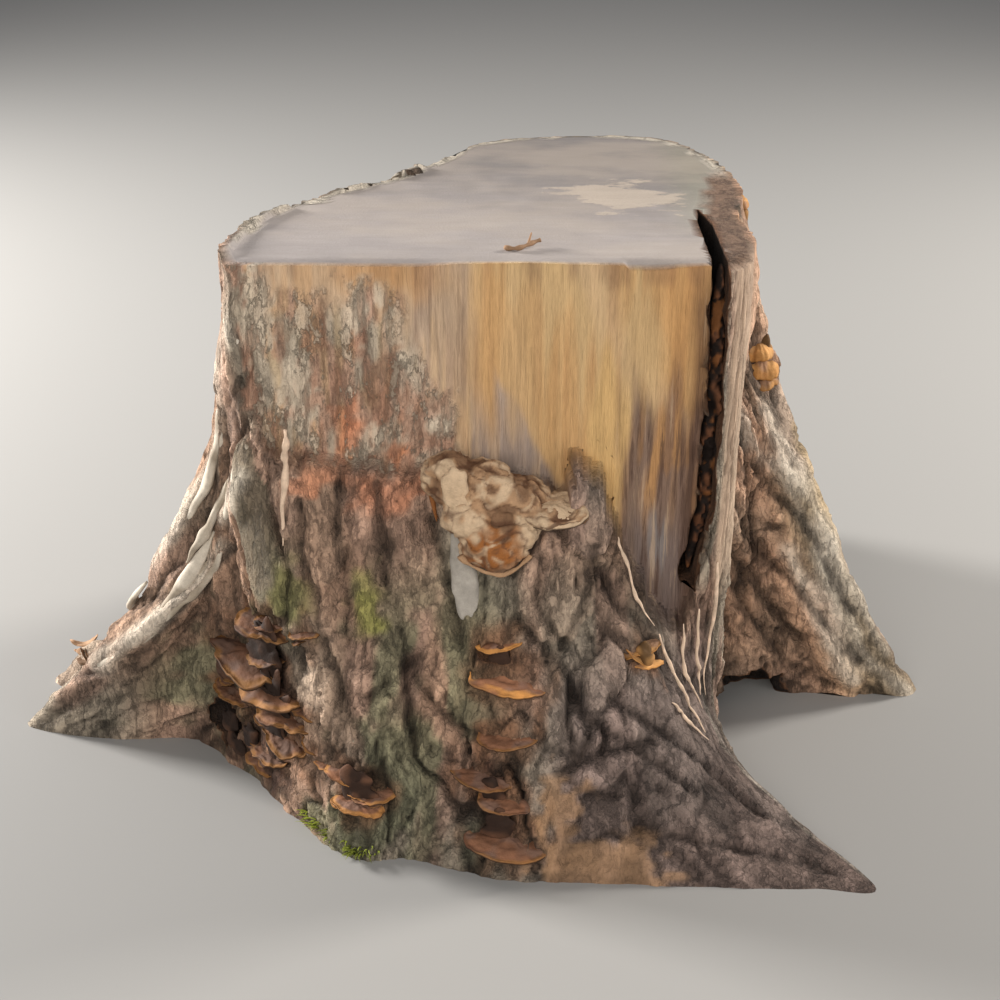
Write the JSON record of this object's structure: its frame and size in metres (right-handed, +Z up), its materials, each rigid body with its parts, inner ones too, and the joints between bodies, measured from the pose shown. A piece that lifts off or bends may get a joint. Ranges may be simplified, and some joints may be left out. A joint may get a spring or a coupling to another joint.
{
  "type": "tree stump",
  "caption": "Weathered tree stump with flaring roots, a level sawn top, a sawn front face, a cracked bark slab and bracket fungi on the bark.",
  "frame": {"origin": "on the ground under the middle of the trunk, on the flat base", "axes": "+Z up, -Y towards the sawn front face, +X towards the bark slab beside the crack, along the longest side"},
  "size_m": [0.9065, 0.7406, 0.5121],
  "materials": {
    "stump_wood": "rough grey-brown bark over pale sawn wood",
    "bracket_fungus": "dull rusty brown, ochre at the rims",
    "crust_fungus": "dull cream and orange crust",
    "litter": "dry weathered wood"
  },
  "bodies": {
    "root": {"stump": "stump_wood", "brackets_left": "bracket_fungus", "brackets_left_low": "bracket_fungus", "brackets_front": "bracket_fungus", "brackets_front_low": "bracket_fungus", "bracket_curl": "bracket_fungus", "brackets_right": "bracket_fungus", "bracket_rim": "bracket_fungus", "crust_ledge": "crust_fungus", "twig_top": "litter", "bark_chip_left": "litter"}
  },
  "joints": []
}
